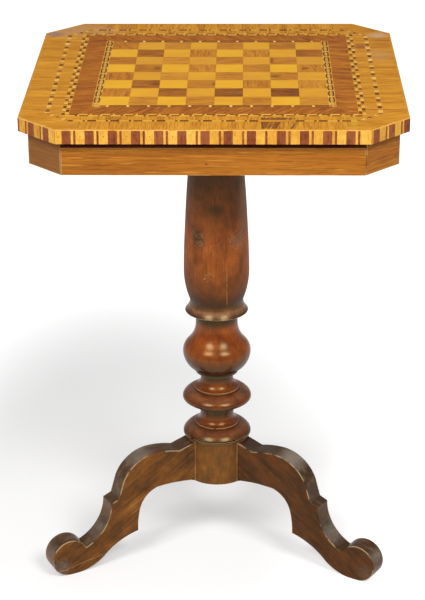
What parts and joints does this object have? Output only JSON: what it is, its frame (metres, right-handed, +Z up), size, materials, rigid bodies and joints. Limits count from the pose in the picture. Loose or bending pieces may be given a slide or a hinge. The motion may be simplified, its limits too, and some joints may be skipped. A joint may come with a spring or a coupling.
{
  "type": "chess table",
  "caption": "Tripod chess table: octagonal inlaid board over a shallow frieze with a concealed drawer, on a turned column with sawn scroll legs.",
  "frame": {"origin": "on the floor, on the axis of the turned column", "axes": "+Z up along the column, -Y to the drawer's front, +Y to the back, +X to the right as seen from the drawer's front"},
  "size_m": [0.512, 0.5358, 0.732],
  "materials": {
    "satinwood_squares": "french polish",
    "rosewood_squares": "french polish",
    "chain_string": "french polish",
    "walnut_banding": "french polish",
    "chequer_stringing": "french polish",
    "satinwood_field": "french polish",
    "striped_banding": "french polish",
    "boxwood_string": "french polish",
    "frieze_walnut": "french polish",
    "turned_walnut": "worn french polish",
    "secondary_wood": "bare, darkened with age",
    "screw_steel": "dull"
  },
  "bodies": {
    "stand_and_top": {"arris_string": "boxwood_string", "block_screws": "screw_steel", "board_end_strings": "chain_string", "board_side_strings": "chain_string", "bottom_board": "secondary_wood", "chequer_string": "chequer_stringing", "column": "turned_walnut", "column_block": "secondary_wood", "dark_squares": "rosewood_squares", "drawer_guide_left": "secondary_wood", "drawer_guide_right": "secondary_wood", "drawer_stops": "secondary_wood", "edge_band_back": "striped_banding", "edge_band_corners": "striped_banding", "edge_band_front": "striped_banding", "edge_band_left": "striped_banding", "edge_band_right": "striped_banding", "field_back": "satinwood_field", "field_back_left": "satinwood_field", "field_back_right": "satinwood_field", "field_front": "satinwood_field", "field_front_left": "satinwood_field", "field_front_right": "satinwood_field", "field_left": "satinwood_field", "field_right": "satinwood_field", "frieze_back": "frieze_walnut", "frieze_corner_back_left": "frieze_walnut", "frieze_corner_back_right": "frieze_walnut", "frieze_corner_front_left": "frieze_walnut", "frieze_corner_front_right": "frieze_walnut", "frieze_left": "frieze_walnut", "frieze_right": "frieze_walnut", "glue_blocks": "secondary_wood", "ground_board": "secondary_wood", "leg_back": "turned_walnut", "leg_left": "turned_walnut", "leg_right": "turned_walnut", "light_squares": "satinwood_squares", "outer_string": "chequer_stringing", "tenon_wedge": "secondary_wood", "walnut_border_back": "walnut_banding", "walnut_border_front": "walnut_banding", "walnut_border_left": "walnut_banding", "walnut_border_right": "walnut_banding"},
    "drawer": {"drawer_front": "frieze_walnut", "drawer_side_left": "secondary_wood", "drawer_side_right": "secondary_wood", "drawer_back": "secondary_wood", "drawer_bottom": "secondary_wood"}
  },
  "joints": [
    {"name": "drawer_slide", "type": "slide", "parent": "stand_and_top", "child": "drawer", "axis": [0, -1, 0], "range_m": [0, 0.3]}
  ]
}
